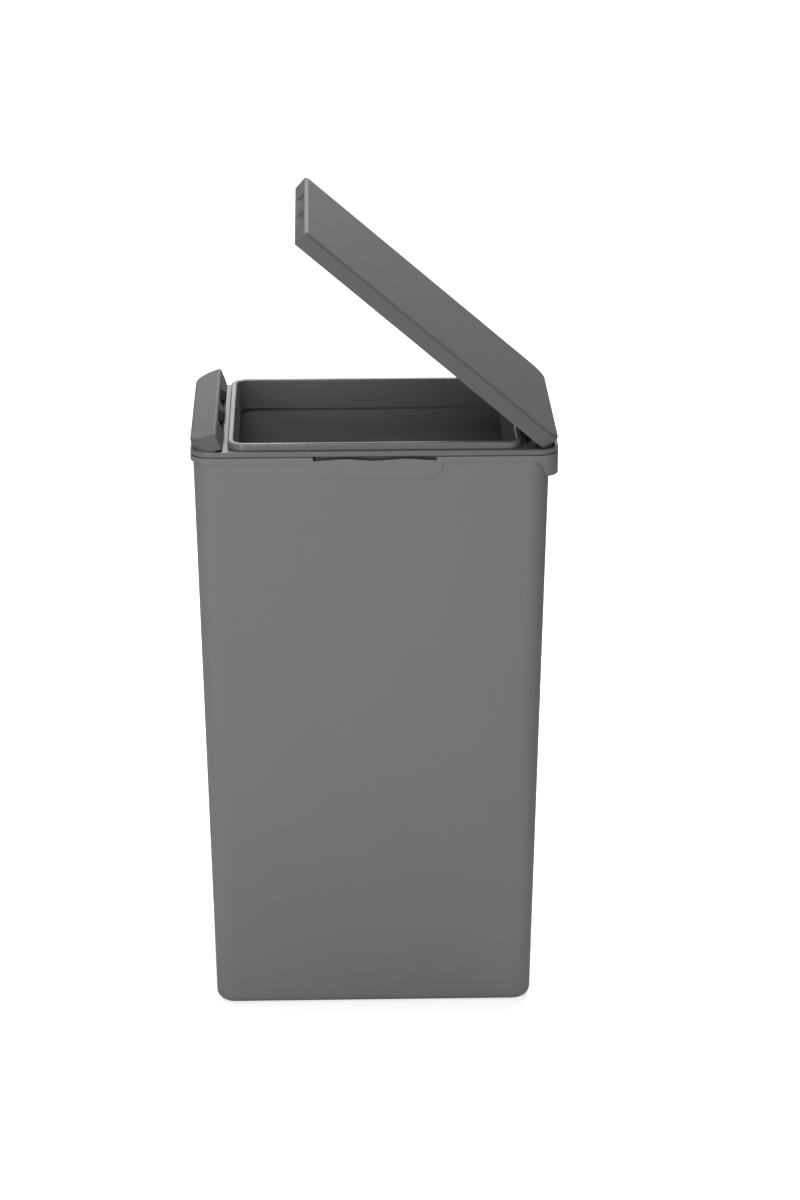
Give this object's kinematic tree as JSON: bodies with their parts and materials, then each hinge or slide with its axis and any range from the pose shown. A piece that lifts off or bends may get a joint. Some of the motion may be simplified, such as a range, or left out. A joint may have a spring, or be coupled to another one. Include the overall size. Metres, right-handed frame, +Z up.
{
  "type": "touch top trash can",
  "caption": "Free-standing tapered bin with a lift-off frame, a bag ring, a sprung hinged lid and a touch bar that unlatches it.",
  "frame": {"origin": "on the floor under the centre of the bin's outline", "axes": "+X towards the lid hinge, +Y to the back long side, +Z up"},
  "size_m": [0.37, 0.241, 0.8454],
  "materials": {
    "body_grey": "fine satin moulding",
    "frame_grey": "satin moulding",
    "ring_grey": "satin moulding",
    "lid_grey": "satin moulding",
    "bar_grey": "satin moulding",
    "dark_moulding": "matt dark moulding",
    "bright_steel": "drawn steel",
    "spring_steel": "spring wire",
    "zinc_screw": "zinc plated",
    "black_rubber": "moulded rubber"
  },
  "bodies": {
    "bin": {"body_shell": "body_grey", "rubber_feet": "black_rubber"},
    "frame": {"top_frame": "frame_grey", "hinge_pin_front": "bright_steel", "hinge_pin_back": "bright_steel", "lid_spring_front": "spring_steel", "lid_spring_back": "spring_steel", "damper_body": "dark_moulding", "damper_cap": "dark_moulding", "damper_screws": "zinc_screw", "button_pivot_rod": "bright_steel", "button_springs": "spring_steel"},
    "ring": {"bag_ring": "ring_grey"},
    "lid": {"lid_shell": "lid_grey", "lid_inner_panel": "lid_grey", "lid_screws": "zinc_screw", "damper_rotor": "dark_moulding"},
    "button": {"button_cover": "bar_grey", "button_carrier": "dark_moulding", "button_screws": "zinc_screw"}
  },
  "joints": [
    {"name": "frame_lift", "type": "slide", "parent": "bin", "child": "frame", "axis": [0, 0, 1], "range_m": [0, 0.08]},
    {"name": "ring_lift", "type": "slide", "parent": "frame", "child": "ring", "axis": [0, 0, 1], "range_m": [0, 0.007]},
    {"name": "lid_hinge", "type": "hinge", "parent": "frame", "child": "lid", "pos_m": [0.1705, 0, 0.6287], "axis": [0, 1, 0], "range_deg": [-40.66, 27.34], "stiffness_Nm_per_rad": 0.9, "deforming": ["lid_spring_front", "lid_spring_back"]},
    {"name": "button_rock", "type": "hinge", "parent": "frame", "child": "button", "pos_m": [-0.1582, 0, 0.6234], "axis": [0, 1, 0], "range_deg": [0, 20], "stiffness_Nm_per_rad": 0.3, "deforming": ["button_springs"]}
  ]
}
